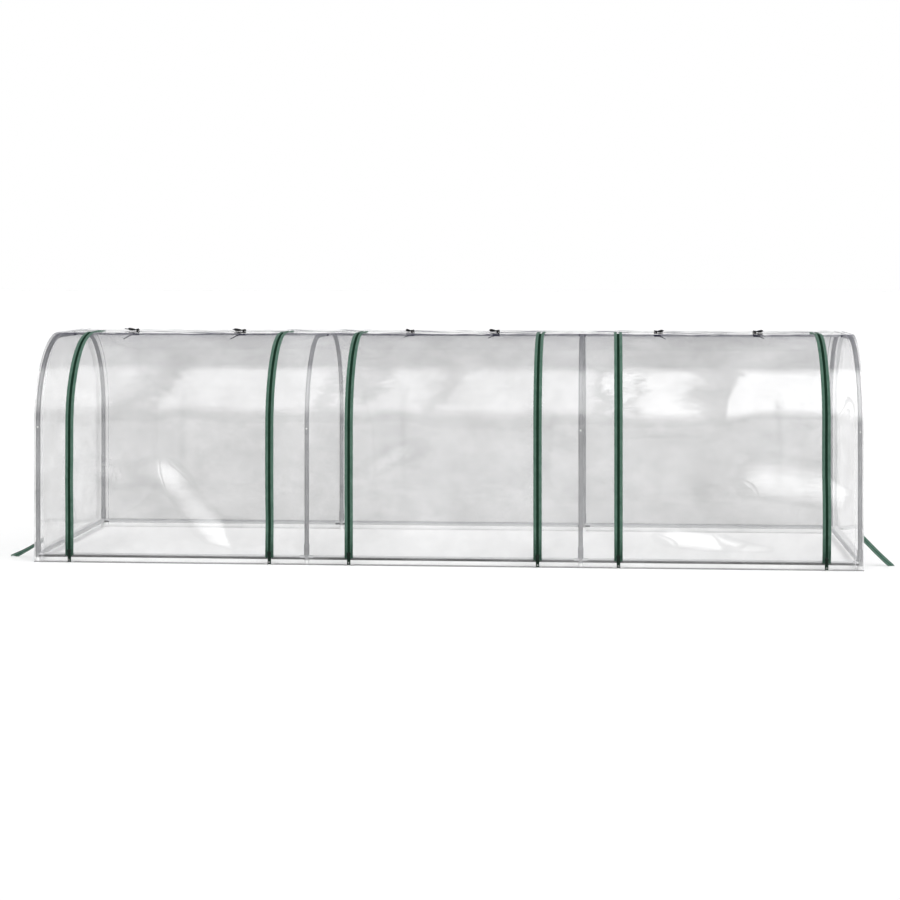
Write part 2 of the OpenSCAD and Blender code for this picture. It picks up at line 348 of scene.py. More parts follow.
def remap(tree, value, low, high, to_low, to_high, soft=False):
    """Maps a range of values to another, clamped; soft eases both ends."""
    return add_node(
        tree, "ShaderNodeMapRange",
        {"Value": value, "From Min": low, "From Max": high, "To Min": to_low, "To Max": to_high},
        interpolation_type="SMOOTHSTEP" if soft else "LINEAR",
    ).outputs["Result"]


def maths(tree, operation, a, b, c=None):
    made = add_node(tree, "ShaderNodeMath", {0: a, 1: b}, operation=operation)
    if c is not None:
        tree.links.new(c, made.inputs[2])
    return made.outputs["Value"]


def colours(tree, factor, *stops):
    """Colour ramp through (position, colour) stops."""
    ramp = add_node(tree, "ShaderNodeValToRGB", {"Fac": factor})
    elements = ramp.color_ramp.elements
    while len(elements) < len(stops):
        elements.new(1.0)
    for element, (position, colour) in zip(elements, stops):
        element.position = position
        element.color = (*colour, 1.0)
    return ramp.outputs["Color"]


def blend(tree, factor, colour, other):
    """A colour that turns into another, fixed one."""
    return add_node(
        tree, "ShaderNodeMix", {0: factor, 6: colour, 7: (*other, 1.0)}, data_type="RGBA"
    ).outputs[2]


def bump(tree, height, strength, distance):
    return add_node(
        tree, "ShaderNodeBump", {"Height": height, "Strength": strength, "Distance": distance}
    ).outputs["Normal"]


# Index of refraction that sets the film's gloss
FILM_INDEX = 1.62


def film_material(name, clear, haze_low, haze_high, roof=None, low=0.97):
    """Clear film: see-through with a milky haze in clouds and streaks, under a soft gloss.

    clear is the share of light that it lets through; roof and low are that share on the roof and beside
    the ground.
    """
    material, tree = new_material(name)
    height = height_of(tree)
    tint = remap(tree, height, 0.016, 0.023, low or clear, clear)
    if roof:
        more = remap(tree, height, ROOF_Z - 0.03, ROOF_Z - 0.004, 0.0, roof - clear)
        tint = maths(tree, "ADD", tint, more)
    blots = noise(tree, place(tree, (1.0, 1.0, 1.4), (0.1, 0.5, 0.2)), 5.5, 5.0, 0.62)
    tint = maths(tree, "MULTIPLY", tint, remap(tree, blots, 0.28, 0.72, 0.905, 1.085))
    tint = maths(tree, "MINIMUM", tint, 1.0)
    clouds = noise(tree, place(tree, (1.0, 1.0, 1.3), (0.3, 0.2, 0.5)), 2.1, 4.0, 0.5)
    streaks = noise(tree, place(tree, (1.0, 1.0, 0.3), (0.0, 0.75, 0.0)), 7.0, 2.0, 0.5)
    mottle = noise(tree, place(tree), 16.0, 3.0, 0.55)
    mixed = maths(tree, "MULTIPLY_ADD", streaks, 0.5, clouds)
    haze = remap(tree, mixed, 0.62, 0.92, haze_low, haze_high)
    haze = maths(tree, "ADD", haze, remap(tree, mottle, 0.4, 0.75, -0.008, 0.016))
    dents = bump(tree, noise(tree, place(tree, (0.2, 1.0, 1.0)), 15.0, 3.0), 1.0, 0.0009)
    see = add_node(tree, "ShaderNodeBsdfTransparent", {"Color": tint})
    milk = add_node(
        tree, "ShaderNodeBsdfPrincipled",
        {"Base Color": (0.88, 0.88, 0.9, 1.0), "Roughness": 0.5, "Specular IOR Level": 0.2,
         "Normal": dents},
    )
    body = add_node(
        tree, "ShaderNodeMixShader", {0: haze, 1: see.outputs["BSDF"], 2: milk.outputs["BSDF"]}
    )
    gloss = add_node(
        tree, "ShaderNodeBsdfGlossy", {"Color": (1.0, 1.0, 1.0, 1.0), "Roughness": 0.04, "Normal": dents}
    )
    inside = add_node(tree, "ShaderNodeNewGeometry").outputs["Backfacing"]
    index = remap(tree, inside, 0.0, 1.0, FILM_INDEX, 1 / FILM_INDEX)
    fresnel = add_node(tree, "ShaderNodeFresnel", {"IOR": index, "Normal": dents})
    skin = add_node(
        tree, "ShaderNodeMixShader",
        {0: fresnel.outputs["Fac"], 1: body.outputs["Shader"], 2: gloss.outputs["BSDF"]},
    )
    finish_material(tree, skin.outputs["Shader"])
    return material


def steel_material(
    name, dark, light, metal, rough_low, rough_high, painted_underside=None, turn=(0.8, -0.15), foot=None, patch=18.0
):
    """Galvanised steel: faint spangle and dull patches, patch to a metre.

    The colour given for the underside is painted on faces that look down, blended in between the two facings
    in turn:
    painted shade where it is darker than the steel, painted light where it is paler; foot is the colour it
    turns below about 2 cm.
    """
    material, tree = new_material(name)
    spangle = add_node(
        tree, "ShaderNodeTexVoronoi", {"Vector": place(tree), "Scale": 260.0}, feature="F1"
    ).outputs["Color"]
    grey = add_node(tree, "ShaderNodeSeparateColor", {"Color": spangle}).outputs["Red"]
    dull = noise(tree, place(tree), patch, 5.0, 0.6)
    mixed = maths(tree, "MULTIPLY_ADD", grey, 0.3, dull)
    colour = colours(tree, remap(tree, mixed, 0.35, 0.95, 0.0, 1.0), (0.0, dark), (1.0, light))
    # Faces that look down take the underside colour: painted shade where it is darker, painted light where
    # it is paler.
    if painted_underside:
        facing = add_node(tree, "ShaderNodeTexCoord").outputs["Normal"]
        down = add_node(tree, "ShaderNodeSeparateXYZ", {"Vector": facing}).outputs["Z"]
        underside_paint_mask = remap(tree, maths(tree, "MULTIPLY_ADD", dull, -0.2, down), turn[0], turn[1], 0.0, 1.0)
        colour = blend(tree, underside_paint_mask, colour, painted_underside)
    if foot:
        low = maths(tree, "MULTIPLY_ADD", dull, 0.004, height_of(tree))
        colour = blend(tree, remap(tree, low, 0.017, 0.021, 1.0, 0.0), colour, foot)
    rough = remap(tree, dull, 0.3, 0.7, rough_low, rough_high)
    shader = add_node(
        tree, "ShaderNodeBsdfPrincipled",
        {"Base Color": colour, "Metallic": metal, "Roughness": rough,
         "Normal": bump(tree, mixed, 0.12, 0.0005)},
    )
    finish_material(tree, shader.outputs["BSDF"])
    return material


def woven_material(name, dark, light, threads, rough=0.85, shine=0.25, foot=None):
    """Woven tape: threads across and along, with worn patches; foot is the colour it turns towards the
    bottom.
    """
    material, tree = new_material(name)
    across = add_node(
        tree, "ShaderNodeTexWave", {"Vector": place(tree), "Scale": threads, "Distortion": 0.4},
        wave_type="BANDS", bands_direction="X",
    ).outputs["Fac"]
    along = add_node(
        tree, "ShaderNodeTexWave", {"Vector": place(tree), "Scale": threads * 0.7, "Distortion": 0.4},
        wave_type="BANDS", bands_direction="Z",
    ).outputs["Fac"]
    weave = maths(tree, "MULTIPLY", across, along)
    wear = noise(tree, place(tree), 45.0, 5.0, 0.6)
    mixed = maths(tree, "MULTIPLY_ADD", weave, 0.35, wear)
    colour = colours(tree, remap(tree, mixed, 0.35, 0.95, 0.0, 1.0), (0.0, dark), (1.0, light))
    if foot:
        low = maths(tree, "MULTIPLY_ADD", wear, 0.04, height_of(tree))
        colour = blend(tree, remap(tree, low, 0.045, 0.15, 0.85, 0.0, True), colour, foot)
    shader = add_node(
        tree, "ShaderNodeBsdfPrincipled",
        {"Base Color": colour, "Roughness": rough, "Specular IOR Level": shine, "Sheen Weight": 0.08,
         "Normal": bump(tree, weave, 0.5, 0.0006)},
    )
    finish_material(tree, shader.outputs["BSDF"])
    return material


def moulded_material(name, dark, light, rough_low, rough_high, shine=0.4):
    """Moulded plastic or painted metal with a fine grain and scuffed patches."""
    material, tree = new_material(name)
    scuffs = noise(tree, place(tree), 60.0, 5.0, 0.65)
    grain = noise(tree, place(tree), 900.0, 2.0)
    colour = colours(tree, remap(tree, scuffs, 0.35, 0.7, 0.0, 1.0), (0.0, dark), (1.0, light))
    rough = remap(tree, scuffs, 0.3, 0.7, rough_low, rough_high)
    shader = add_node(
        tree, "ShaderNodeBsdfPrincipled",
        {"Base Color": colour, "Roughness": rough, "Specular IOR Level": shine,
         "Normal": bump(tree, grain, 0.25, 0.0003)},
    )
    finish_material(tree, shader.outputs["BSDF"])
    return material


FILM = film_material("clear_film", 0.88, 0.0, 0.14)
BACK_FILM = film_material("back_film", 0.70, 0.0, 0.05, 0.88)
LEFT_FILM = film_material("left_end_film", 0.84, 0.0, 0.05)
RIGHT_FILM = film_material("right_end_film", 1.0, 0.02, 0.10)
HEM = film_material("hem_film", 0.46, 0.03, 0.08, low=None)
BACK_HEM = film_material("back_hem_film", 0.97, 0.0, 0.04)
WELD = film_material("weld_film", 0.95, 0.12, 0.26)
TUBE = steel_material("galvanised_tube", (0.21, 0.213, 0.22), (0.33, 0.333, 0.34), 0.3, 0.42, 0.58)
# Front rail: its pale tone, far above the hoops' steel, is painted light; the dark colour on its underside
# is painted shade.
RAIL = steel_material("base_rail", (0.60, 0.605, 0.61), (0.80, 0.805, 0.81), 0.2, 0.45, 0.6,
                      (0.05, 0.053, 0.051))
# Back rail: a darker copy of the rail steel, painted shade; the pale colour on its underside is painted
# light that evens out the shade below.
BACK_RAIL = steel_material("back_rail", (0.30, 0.303, 0.31), (0.42, 0.424, 0.43), 0.25, 0.45, 0.6,
                           (0.62, 0.625, 0.63), (0.2, -0.5))
# End rails: a paler copy of the rail steel; the pale tone is painted light from the floor's bounce.
LIT_END_RAIL = steel_material("end_rail", (0.50, 0.505, 0.51), (0.72, 0.725, 0.73), 0.25, 0.45, 0.6)
# Ridge bar: its near-black tone is painted shade, a darker copy of the tube steel; its long pale patches
# vary that shade along the bar.
SHADED_BAR = steel_material("ridge_bar", (0.06, 0.061, 0.064), (0.62, 0.625, 0.63), 0.2, 0.45, 0.6, patch=3.4)
# Fittings: the dark colour on their underside is painted shade; below about 2 cm they turn pale.
FITTING = steel_material("steel_fitting", (0.36, 0.364, 0.37), (0.52, 0.524, 0.53), 0.25, 0.45, 0.6,
                         (0.06, 0.063, 0.061), (0.1, -0.5), (0.85, 0.85, 0.85))
BRIGHT = steel_material("zip_metal", (0.66, 0.66, 0.65), (0.88, 0.88, 0.87), 0.7, 0.22, 0.34)
BLACK = moulded_material("black_plastic", (0.012, 0.012, 0.013), (0.05, 0.05, 0.052), 0.42, 0.6)
PAINT = moulded_material("slider_paint", (0.003, 0.008, 0.005), (0.012, 0.022, 0.016), 0.5, 0.7, 0.12)
COIL = moulded_material("zip_coil", (0.004, 0.020, 0.010), (0.010, 0.036, 0.020), 0.6, 0.8, 0.12)
# The zip tape turns darker towards its bottom end.
TAPE = woven_material("zip_tape", (0.050, 0.110, 0.080), (0.105, 0.185, 0.145), 420.0,
                      foot=(0.008, 0.030, 0.018))
INNER_TAPE = woven_material("zip_inner_tape", (0.005, 0.026, 0.014), (0.014, 0.046, 0.028), 420.0, 0.9, 0.1)
THREAD = woven_material("stitching", (0.10, 0.19, 0.145), (0.17, 0.29, 0.23), 900.0)
RIBBON = woven_material("tie_ribbon", (0.006, 0.006, 0.007), (0.024, 0.024, 0.026), 500.0, 0.85, 0.15)
WEBBING = woven_material("ground_webbing", (0.030, 0.075, 0.052), (0.070, 0.135, 0.100), 300.0)
STRIPE = woven_material("webbing_stripe", (0.10, 0.20, 0.15), (0.20, 0.33, 0.26), 500.0)


# Film


def film_piece(shape, name, materials, crease=60):
    """A piece of film; it is too clear to shade the ground."""
    made = shape.piece(name, materials, "clear_film", crease)
    made.visible_shadow = False
    return made


def hem_rows(x, s_edge, cut):
    """Rows that fold a sheet's lower edge outwards and up into a hem, from the sheet to the free edge.

    cut narrows the hem towards the sides that end at a zip.
    """
    left = smooth_step(0.000, 0.022, x - x[0]) if cut[0] else np.ones(len(x))
    right = smooth_step(0.000, 0.022, x[-1] - x) if cut[1] else np.ones(len(x))
    kept = 0.25 + 0.75 * left * right
    turn = np.linspace(0, math.pi, 5)[1:]
    side = np.sign(outline(np.array(s_edge))[2])
    edge = cover(x, s_edge)
    rows = []
    for angle in turn:
        row = edge.copy()
        row[:, 1] = edge[:, 1] + side * HEM_R * (1 - math.cos(angle))
        row[:, 2] = HEM_R - HEM_R * math.sin(angle)
        rows.append(row)
    for z in spaced(HEM_R, HEM_H, HEM_H / 3)[1:]:
        row = rows[-1].copy()
        row[:, 2] = HEM_R + (z - HEM_R) * kept
        rows.append(row)
    return rows


def film_sheet(name, x0, x1, back, films):
    """A sheet of the cover from the hem to the ridge; its slots at the zips close on the roof."""
    x = spaced(x0, x1, FILM_STEP)
    hem_s = 2 * RIDGE_S - HEM_R if back else HEM_R
    s = spaced(hem_s, RIDGE_S, FILM_STEP)
    t = np.minimum(s, 2 * RIDGE_S - s)
    reach = (SLOT_HALF - SLOT_GAP) * smooth_step(ROOF_S - 0.004, ROOF_S + 0.030, t)
    left = 0 if abs(x0) > END_X - 0.001 else 1
    right = 0 if abs(x1) > END_X - 0.001 else 1
    fold = hem_rows(x, hem_s, (left, right))
    body = [cover(np.linspace(x0 - left * r, x1 + right * r, len(x)), k) for k, r in zip(s, reach)]
    rows = fold[::-1] + body
    faces = grid_faces(len(rows), len(x))
    if back:
        faces = faces[:, ::-1]
    shape = Shape()
    shape.add(np.concatenate(rows), faces)
    in_hem = (len(fold) + (2 if back else 0)) * (len(x) - 1)
    shape.slots[:in_hem] = [1] * in_hem
    made = film_piece(shape, name, films)
    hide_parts(name)


def end_panel(name, side):
    """The flat end of the tunnel, with soft pulls in it."""
    turn = np.linspace(0, math.pi / 2, 26)
    arc_y = BEND_Y + SHOULDER_R * np.sin(turn)
    y = np.concatenate([-arc_y[::-1], spaced(-BEND_Y, BEND_Y, 0.02)[1:-1], arc_y])
    over = np.clip(np.abs(y) - BEND_Y, 0, SHOULDER_R)
    top = WALL_L + np.sqrt(SHOULDER_R**2 - over**2) - EDGE_INSET
    y = np.clip(y, -WALL_Y + EDGE_INSET, WALL_Y - EDGE_INSET)
    t = np.linspace(0, 1, 56)[:, None]
    z = 0.0004 + t * (top - 0.0004)
    yy = np.broadcast_to(y, z.shape)
    edge = np.minimum(WALL_Y - np.abs(yy), np.minimum(z, top - z))
    free = smooth_step(0.0, 0.16, edge)
    billow = 0.0018 * free * waves(yy, z, 7, (0.35, 0.8), 0.9, 1.0, 41 + side)
    x = side * (END_X - 0.001 + billow)
    shape = Shape()
    faces = grid_faces(*z.shape)
    shape.add(np.stack([x, yy, z], -1), faces if side > 0 else faces[:, ::-1])
    made = film_piece(shape, name, [LEFT_FILM if side < 0 else RIGHT_FILM])
    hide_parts(name)


edges = [-END_X, *[x + side * SLOT_HALF for x in ZIP_X for side in (-1, 1)], END_X]
for i in range(7):
    name = f"front_strip_{i // 2 + 1}" if i % 2 == 0 else f"door_{i // 2 + 1}"
    films = [RIGHT_FILM if i == 6 else FILM, HEM]
    film_sheet(name, edges[2 * i], edges[2 * i + 1], False, films)
film_sheet("back_cover", -END_X, END_X, True, [BACK_FILM, BACK_HEM])
end_panel("left_end_panel", -1)
end_panel("right_end_panel", 1)


def sweep(shape, section, x, s, out=0.0, slot=0):
    """A closed section of (across, up) points carried along the cover at a station x."""
    section = np.asarray(section)
    loft(shape, cover(x + section[None, :, 0], s[:, None], out + section[None, :, 1]), slot)


# Weld lines beside the end hoops, at the corners and along the ridge
WELD_INSET = 0.0175
WELD_W = 0.004
WELD_T = 0.0008
SEAM_W = 0.012


def weld_lines():
    shape = Shape()
    half = WELD_W / 2
    section = [(-half, 0), (half, 0), (half * 0.6, WELD_T), (-half * 0.6, WELD_T)]
    s = spaced(0.008, 2 * RIDGE_S - 0.008, FILM_STEP)
    for side in (-1, 1):
        for x in (side * END_X - side * half, HOOP_X[0 if side < 0 else 3] - side * WELD_INSET):
            sweep(shape, section, x, s, 0.0002)
    x = spaced(-END_X + 0.004, END_X - 0.004, FILM_STEP)
    u = np.array([-0.5, -0.35, 0.35, 0.5]) * SEAM_W
    ridge = np.array([0.0002, WELD_T, WELD_T, 0.0002])
    loft(shape, cover(x[:, None], RIDGE_S + u[None], ridge[None]))
    film_piece(shape, "weld_lines", [WELD])


weld_lines()


# Zips: two green bindings on the film's edges, a dark inner tape and coil between them
BINDING_W = 0.0105
BINDING_T = 0.0022
BINDING_Z = 0.025
COIL_TOP = ROOF_S
COIL_HALF = 0.0032
INNER_HALF = 0.0062
TOOTH_PITCH = 0.0026
STITCH_PITCH = 0.005
STITCH_AT = (0.16, 0.80)
STITCH_HALF = 0.00035
STITCH_REACH = 0.0016
STITCH_T = 0.0006
ZIP_STEP = 0.008
ZIP_TOP = 0.008


def binding_section(side):
    """A folded ribbon's outline, from the slot outwards."""
    profile = [(0.0, 0.0002), (0.02, 0.65), (0.14, 0.95), (0.5, 1.0), (0.82, 0.78), (0.98, 0.3),
               (1.0, 0.0002)]
    points = [(side * (SLOT_HALF + BINDING_W * u), BINDING_T * v) for u, v in profile]
    return points if side < 0 else points[::-1]


def boxes(shape, x, s, across, along, low, high, slot):
    """Small blocks on the cover, one at each distance s: across and along are (from, to) sizes."""
    corners = [(a, b, c) for c in (low, high) for b in along for a in across]
    a, b, c = np.array(corners).T
    points = cover(x + a[None, :], s[:, None] + b[None, :], c[None, :])
    quads = np.array([[0, 2, 3, 1], [4, 5, 7, 6], [0, 1, 5, 4], [2, 6, 7, 3], [0, 4, 6, 2], [1, 3, 7, 5]])
    shape.add(points, (np.arange(len(s))[:, None, None] * 8 + quads[None]).reshape(-1, 4), slot=slot)


def zip_piece(number, x):
    shape = Shape()
    top = RIDGE_S - ZIP_TOP
    s = spaced(BINDING_Z, top, ZIP_STEP)
    for side in (-1, 1):
        sweep(shape, binding_section(side), x, s, 0.0003, 0)
        stitches = np.arange(BINDING_Z + 0.004, top - 0.004, STITCH_PITCH)
        for u, rise in zip(STITCH_AT, (0.0023, 0.0019)):
            at = side * (SLOT_HALF + BINDING_W * u)
            across = (at - STITCH_HALF, at + STITCH_HALF)
            boxes(shape, x, stitches, across, (-STITCH_REACH, STITCH_REACH), rise, rise + STITCH_T, 3)
    coil_s = spaced(0.002, COIL_TOP, ZIP_STEP)
    flat = [(-INNER_HALF, -0.0006), (INNER_HALF, -0.0006), (INNER_HALF, 0.0002), (-INNER_HALF, 0.0002)]
    sweep(shape, flat, x, coil_s, 0.0, 1)
    teeth = np.arange(0.004, COIL_TOP - 0.004, TOOTH_PITCH)
    for side, shift in ((-1, 0.0), (1, TOOTH_PITCH / 2)):
        across = (side * COIL_HALF, -side * 0.0009)
        across = across if side < 0 else across[::-1]
        boxes(shape, x, teeth + shift, across, (-0.00055, 0.00055), 0.0003, 0.0019, 2)
    made = shape.piece(f"zip_{number}", [TAPE, INNER_TAPE, COIL, THREAD], "zip_tape")
    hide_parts(f"zip_{number}")


for i, x in enumerate(ZIP_X):
    zip_piece(i + 1, x)


# Zip sliders: a shield-shaped body over the coil, a bail and a pull that hangs from it
SLIDER_LOW = 0.023
SLIDER_HIGH = 0.047
PULL_TOP = 0.039
PULL_LOW = 0.006
BODY_SIDES = 24
EYE_SIDES = 28


def slider(shape, x):
    back = -WALL_Y - 0.0024
    turn = np.linspace(0, 2 * math.pi, BODY_SIDES, endpoint=False)
    corner = np.stack([np.sign(np.cos(turn)) * np.abs(np.cos(turn)) ** 0.5,
                       np.sign(np.sin(turn)) * np.abs(np.sin(turn)) ** 0.5], -1)

    def ring(z, half, thick):
        y = back - thick / 2 + thick / 2 * corner[:, 1]
        return np.stack([x + half * corner[:, 0], y, np.full(BODY_SIDES, z)], -1)

    stations = [
        (0.0, 0.0036, 0.0020), (0.02, 0.0048, 0.0028), (0.10, 0.0058, 0.0032), (0.45, 0.0060, 0.0034),
        (0.80, 0.0066, 0.0034), (0.95, 0.0063, 0.0030), (1.0, 0.0050, 0.0020),
    ]
    length = SLIDER_HIGH - SLIDER_LOW
    loft(shape, [ring(SLIDER_LOW + length * t, half, thick) for t, half, thick in stations], 0)
    front = back - 0.0034
    bail = smooth_path([(x, front + 0.0006, PULL_TOP - 0.010), (x, front - 0.0016, PULL_TOP - 0.007),
                        (x, front - 0.0020, PULL_TOP - 0.001), (x, front - 0.0012, PULL_TOP + 0.003),
                        (x, front + 0.0006, PULL_TOP + 0.005)], 14)
    ribbon(shape, bail, (1.0, 0.0, 0.0), 0.0022, 0.0012, 0)
    y = front - 0.0012
    ring_z = PULL_LOW + 0.004
    length = np.array([PULL_TOP, PULL_TOP - 0.0006, PULL_TOP - 0.003, ring_z + 0.009, ring_z + 0.0033])
    width = np.array([0.0030, 0.0046, 0.0056, 0.0050, 0.0058])
    path = np.stack([np.full(5, x), np.full(5, y), length], -1)
    ribbon(shape, path, (1.0, 0.0, 0.0), width, 0.0012, 0)
    turn = np.linspace(0, 2 * math.pi, EYE_SIDES, endpoint=False)
    faces = grid_faces(EYE_SIDES + 1, 4, closed=True) % (EYE_SIDES * 4)
    for slot, inner, outer, half in ((0, 0.0021, 0.0040, 0.0006), (1, 0.0018, 0.0025, 0.0009)):
        section = [(inner, -half), (outer, -half), (outer, half), (inner, half)]
        points = [[(x + r * math.cos(a), y + h, ring_z + r * math.sin(a)) for r, h in section] for a in turn]
        shape.add(points, faces[:, ::-1], slot=slot)


def zip_sliders():
    shape = Shape()
    for x in ZIP_X:
        slider(shape, x)
    made = shape.piece("zip_sliders", [PAINT, BRIGHT], "zip_metal")
    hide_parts("zip_sliders")


zip_sliders()


# Ties: ribbons wound on the ridge bar and knotted in a bow on the film
DOOR_MID = [(ZIP_X[2 * i] + ZIP_X[2 * i + 1]) / 2 for i in range(3)]
TIE_X = [DOOR_MID[0] - 0.240, DOOR_MID[0] + 0.170, DOOR_MID[1] - 0.170, DOOR_MID[1] + 0.155,
         DOOR_MID[2] - 0.205, DOOR_MID[2] + 0.160]
TIE_HAND = [1, 1, 1, 1, -1, -1]
TIE_SIZE = [1.1, 1.0, 0.6, 0.8, 0.75, 0.8]
RIBBON_W = 0.009
RIBBON_T = 0.0009


def tie(shape, x, hand, size, seed):
    """hand is 1 for a tie with its knot on the right of its loop, -1 on the left; size scales its ends."""
    rng = np.random.default_rng(seed)
    along = np.array([float(hand), 0.0, 0.0])
    out = np.array([0.0, -1.0, 0.0])
    rise = np.array([0.0, 0.0, 1.0])
    across = unit(0.90 * out + 0.44 * rise)
    knot = cover(x, RIDGE_S) + np.array([hand * rng.uniform(0.010, 0.014), -0.002, 0.0046])
    turn = np.linspace(0, 2 * math.pi, 30)
    loops = (
        (-1, size * rng.uniform(0.030, 0.036), 0.0036, 0.0030),
        (1, rng.uniform(0.008, 0.011), 0.0028, 0.0010),
    )
    for side, length, swell, lift in loops:
        reach = (1 - np.cos(turn)) / 2
        path = knot + (side * length * reach)[:, None] * along
        path = path + (swell * 1.3 * np.sin(turn) * reach + lift * reach)[:, None] * rise
        path = path + (0.003 * np.sin(turn / 2))[:, None] * out
        width = RIBBON_W * (0.6 + 0.4 * smooth_step(0.0, 0.4, reach))
        ribbon(shape, path, across, width, RIBBON_T)
    tails = (
        (-1, size * rng.uniform(0.034, 0.042), rng.uniform(0.003, 0.0045)),
        (1, rng.uniform(0.007, 0.010), -0.002),
    )
    for side, length, lift in tails:
        path = smooth_path([knot, knot + side * 0.45 * length * along + 0.005 * out + 0.3 * lift * rise,
                            knot + side * length * along + 0.007 * out + lift * rise], 14)
        ribbon(shape, path, across, RIBBON_W * np.linspace(0.55, 0.75, 14), RIBBON_T)
    angle = np.linspace(0, 2 * math.pi, 14, endpoint=False)
    rings = []
    for t, girth in ((-1.0, 0.55), (-0.75, 0.88), (-0.3, 1.0), (0.3, 1.0), (0.75, 0.88), (1.0, 0.55)):
        rings.append(knot + 0.0040 * t * along + girth * (
            0.0042 * np.cos(angle)[:, None] * rise - 0.0038 * np.sin(angle)[:, None] * out))
    loft(shape, rings)
    post = np.array([knot, [knot[0], 0.0, TUBE_TOP + 0.0058]])
    ribbon(shape, post, along, 0.006, RIBBON_T)
    angle = np.linspace(0, 2.6 * 2 * math.pi, 64)
    radius = 0.0057
    path = np.stack([knot[0] - hand * 0.004 - 0.011 + 0.0085 * angle / (2 * math.pi),
                     -radius * np.sin(angle), TUBE_TOP + radius * np.cos(angle)], -1)
    ribbon(shape, path, along, RIBBON_W, RIBBON_T)
    hang = np.array([knot[0] - hand * 0.004, -radius, TUBE_TOP - 0.002])
    drop = size * rng.uniform(0.012, 0.017)
    path = smooth_path([hang, hang - size * 0.018 * along - 0.004 * rise + 0.002 * out,
                        hang - size * rng.uniform(0.036, 0.044) * along - drop * rise + 0.003 * out], 16)
    ribbon(shape, path, across, RIBBON_W * np.linspace(0.8, 0.6, 16), RIBBON_T)


def door_ties():
    shape = Shape()
    for number, x in enumerate(TIE_X):
        tie(shape, x, TIE_HAND[number], TIE_SIZE[number], 60 + number)
    made = shape.piece("door_ties", [RIBBON], "tie_ribbon")
    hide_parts("door_ties")


door_ties()


# Ground straps: webbing sewn to the end panels and pulled down to the ground
STRAP_Y = -0.3997
STRAP_BACK = 0.034
STRAP_W = 0.018
STRAP_T = 0.0014
PATCH_L = 0.030
STRAP_STITCH = 0.0014


def strap(name, side, reach, top, twist):
    """side is the end; twist gives the turn of the band about its length, from the panel to the ground."""
    skin = side * (END_X + 0.0011)
    start = np.array([skin, STRAP_Y, top])
    end = np.array([side * (END_X + 0.0003 + reach), STRAP_Y + STRAP_BACK, 0.0])
    run = spaced(0.0, 1.06, 0.02)
    path = start + (end - start) * run[:, None]
    path[:, 2] -= 0.0025 * np.sin(math.pi * np.clip(run, 0, 1))
    along = unit(np.gradient(path, axis=0))
    flat = unit(np.cross(np.array([0.0, 0.0, 1.0]), end - start))
    rise = np.cross(along, flat)
    turn = np.radians(np.interp(run, np.linspace(0, 1, len(twist)), twist))[:, None]
    across = rise * np.cos(turn) + flat * np.sin(turn)
    shape = Shape()
    ribbon(shape, path, across, STRAP_W, STRAP_T, 0)
    for u in (-0.0045, 0.0045):
        for v in (-0.0008, 0.0008):
            ribbon(shape, path, across, 0.0022, 0.0004, 1, (u, v))
    points = np.concatenate(shape.points)
    slope = unit(end - start)
    below = np.clip(0.0004 - points[:, 2], 0, None)
    points += (below / slope[2])[:, None] * slope
    shape.points = [points]
    patch = np.array([[skin, STRAP_Y - 0.003, top], [skin, STRAP_Y + PATCH_L, top]])
    patch = patch[0] + (patch[1] - patch[0]) * np.linspace(0, 1, 12)[:, None]
    ribbon(shape, patch, (0.0, 0.0, 1.0), STRAP_W, STRAP_T, 0)
    face = skin + side * 0.0009
    steps = np.arange(3) * STRAP_STITCH

    def stitch(y, z, along_y):
        rows = np.stack([np.full(3, face), y + steps * along_y, z + steps * (1 - along_y)], -1)
        ribbon(shape, rows, (0.0, 1.0 - along_y, along_y), 0.0008, 0.0007, 1)

    for k in np.arange(0.002, PATCH_L - 0.002, 3 * STRAP_STITCH):
        for z in (-0.0065, 0.0065):
            stitch(STRAP_Y + k, top + z, 1.0)
    for k in np.arange(-0.0055, 0.005, 3 * STRAP_STITCH):
        for y in (0.002, PATCH_L - 0.003):
            stitch(STRAP_Y + y, top + k, 0.0)
    made = shape.piece(name, [WEBBING, STRIPE], "ground_webbing")
    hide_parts(name)


strap("left_strap", -1, 0.114, 0.062, (62, 56, 46, 14))
strap("right_strap", 1, 0.112, 0.111, (12, 4, 0, 0))


# Spring buttons that lock the bows on the legs
BUTTON_R = 0.0032


def buttons():
    shape = Shape()
    domed = [(1.0, -0.0012), (1.0, 0.0006), (0.92, 0.0012), (0.70, 0.0018), (0.38, 0.0022), (0.12, 0.0023)]
    profile = [(share * BUTTON_R, height) for share, height in domed]
    for x in HOOP_X:
        for side in (-1, 1):
            turned(shape, profile, (x, side * (TUBE_Y + TUBE_R), JOINT_Z + 0.009), (0.0, side, 0.0))
    shape.piece("leg_buttons", [BRIGHT], "galvanised_tube")


buttons()


# Frame and fittings keep their CAD shapes
SLOT_FINISH = {"galvanised_tube": TUBE, "steel_fitting": FITTING, "black_plastic": BLACK}
NODE_FINISH = {
    "ridge_bars": SHADED_BAR, "front_rails": RAIL, "back_rails": BACK_RAIL,
    "left_end_rail": LIT_END_RAIL, "right_end_rail": LIT_END_RAIL,
}
for part in frame["record"]["subparts"]:
    finish = NODE_FINISH.get(part["node"]) or SLOT_FINISH.get(part["material_slot"])
    if finish:
        node = frame["nodes"][part["node"]]
        node.data.materials.clear()
        node.data.materials.append(finish)


# Stage, lights and camera

# Soft panels in a row in front of the doors: left edge, right edge, brightness; edges are headings
# (sine of the angle from -Y)
PANELS = [(-0.600, -0.242, 0.50), (-0.216, -0.142, 0.64), (-0.118, -0.101, 0.64), (-0.081, -0.006, 0.62),
          (0.014, 0.034, 1.0), (0.066, 0.300, 0.95)]
PANEL_GAP = 0.10
PANEL_SOFT = (0.003, 0.013)
